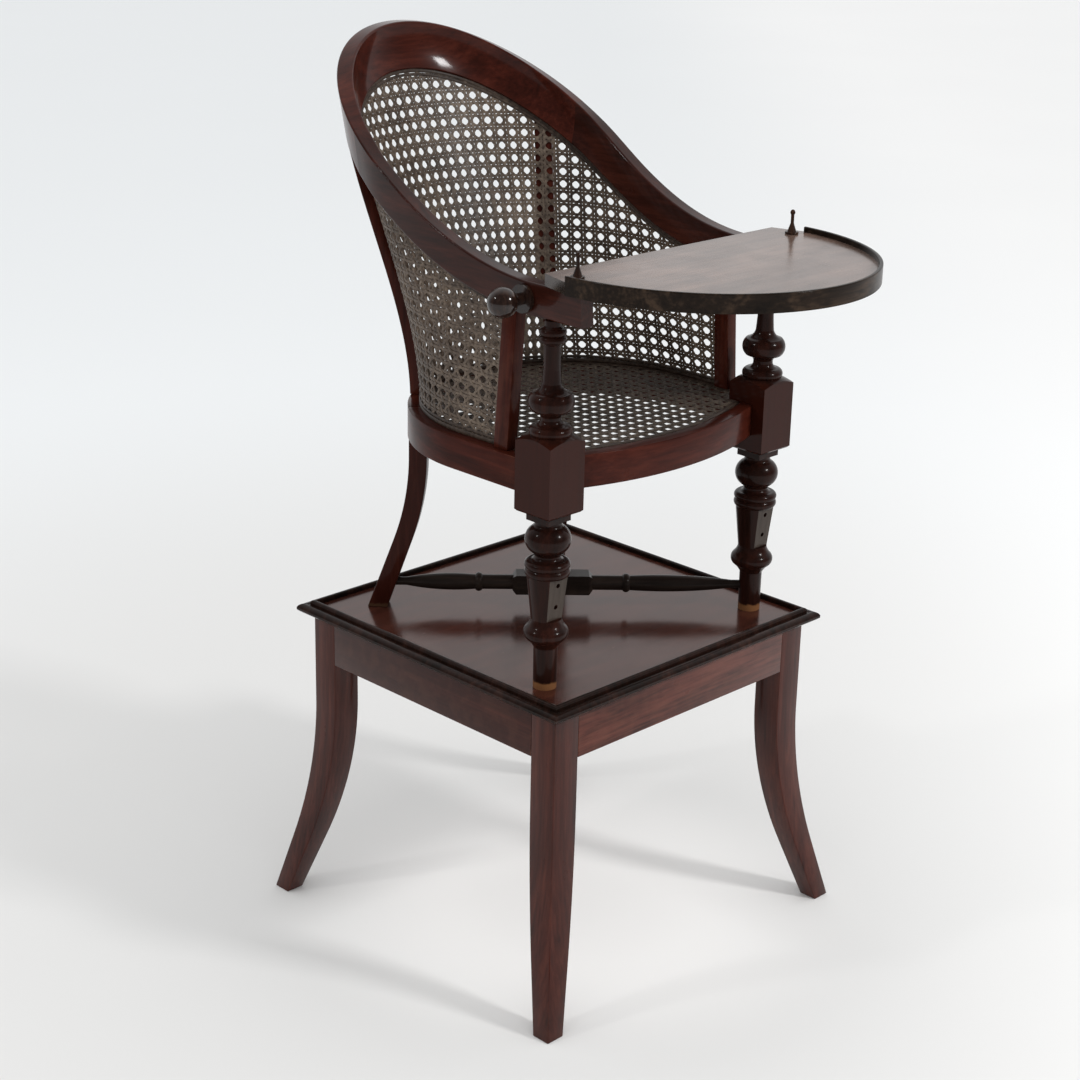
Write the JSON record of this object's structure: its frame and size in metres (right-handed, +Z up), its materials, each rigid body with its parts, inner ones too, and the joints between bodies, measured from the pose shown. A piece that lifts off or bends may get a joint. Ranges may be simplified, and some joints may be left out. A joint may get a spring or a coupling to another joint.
{
  "type": "high chair",
  "caption": "Child's caned armchair with a round tray and a safety bar, standing on its own low square table with sabre legs and held there by a screw.",
  "frame": {"origin": "on the floor, below the middle of the whole object's box", "axes": "+Z up, the chair faces -Y, its left side as seen from the front is -X"},
  "size_m": [0.4572, 0.6357, 0.958],
  "materials": {
    "mahogany": "french polished, dark",
    "stretcher_wood": "near-black worn polish",
    "tray_wood": "glossy polish",
    "table_top_wood": "glossy polish",
    "pin_wood": "turned and polished",
    "cane": "woven rattan cane",
    "steel": "dull iron"
  },
  "bodies": {
    "root": {"table_apron_front": "mahogany", "table_apron_left": "mahogany", "table_apron_rear": "mahogany", "table_apron_right": "mahogany", "table_board": "table_top_wood", "table_glue_block_front": "mahogany", "table_glue_block_left": "mahogany", "table_glue_block_rear": "mahogany", "table_glue_block_right": "mahogany", "table_leg_front_left": "mahogany", "table_leg_front_right": "mahogany", "table_leg_rear_left": "mahogany", "table_leg_rear_right": "mahogany", "table_moulding_front": "mahogany", "table_moulding_left": "mahogany", "table_moulding_rear": "mahogany", "table_moulding_right": "mahogany"},
    "chair": {"arm_left": "mahogany", "arm_right": "mahogany", "back_cane": "cane", "back_stile_left": "mahogany", "back_stile_right": "mahogany", "crest_rail": "mahogany", "front_leg_left": "mahogany", "front_leg_right": "mahogany", "panel_stile_left": "mahogany", "panel_stile_right": "mahogany", "rear_leg_left": "mahogany", "rear_leg_right": "mahogany", "seat_cane": "cane", "seat_rail_back": "mahogany", "seat_rail_front": "mahogany", "seat_rail_left": "mahogany", "seat_rail_right": "mahogany", "side_cane_left": "cane", "side_cane_right": "cane", "stretcher_half_front": "stretcher_wood", "stretcher_half_rear": "stretcher_wood", "stretcher_through": "stretcher_wood"},
    "tray": {"tray_board": "tray_wood", "tray_lip": "mahogany"},
    "tray_pin_left": {"tray_pin_left": "pin_wood"},
    "tray_pin_right": {"tray_pin_right": "pin_wood"},
    "safety_bar": {"safety_bar_knob": "mahogany", "safety_bar_rod": "mahogany"},
    "fixing_screw": {"fixing_screw": "steel", "screw_washer": "steel"}
  },
  "joints": [
    {"name": "chair_lift", "type": "slide", "parent": "root", "child": "chair", "axis": [0, 0, 1], "range_m": [0, 0.1]},
    {"name": "fixing_screw_out", "type": "slide", "parent": "root", "child": "fixing_screw", "axis": [0, 0, -1], "range_m": [0, 0.06]},
    {"name": "tray_lift", "type": "slide", "parent": "chair", "child": "tray", "axis": [0, 0, 1], "range_m": [0, 0.06]},
    {"name": "tray_pin_left_pull", "type": "slide", "parent": "tray", "child": "tray_pin_left", "axis": [0, 0, 1], "range_m": [0, 0.04]},
    {"name": "tray_pin_right_pull", "type": "slide", "parent": "tray", "child": "tray_pin_right", "axis": [0, 0, 1], "range_m": [0, 0.04]},
    {"name": "safety_bar_pull", "type": "slide", "parent": "chair", "child": "safety_bar", "axis": [-1, 0, 0], "range_m": [0, 0.31]}
  ]
}
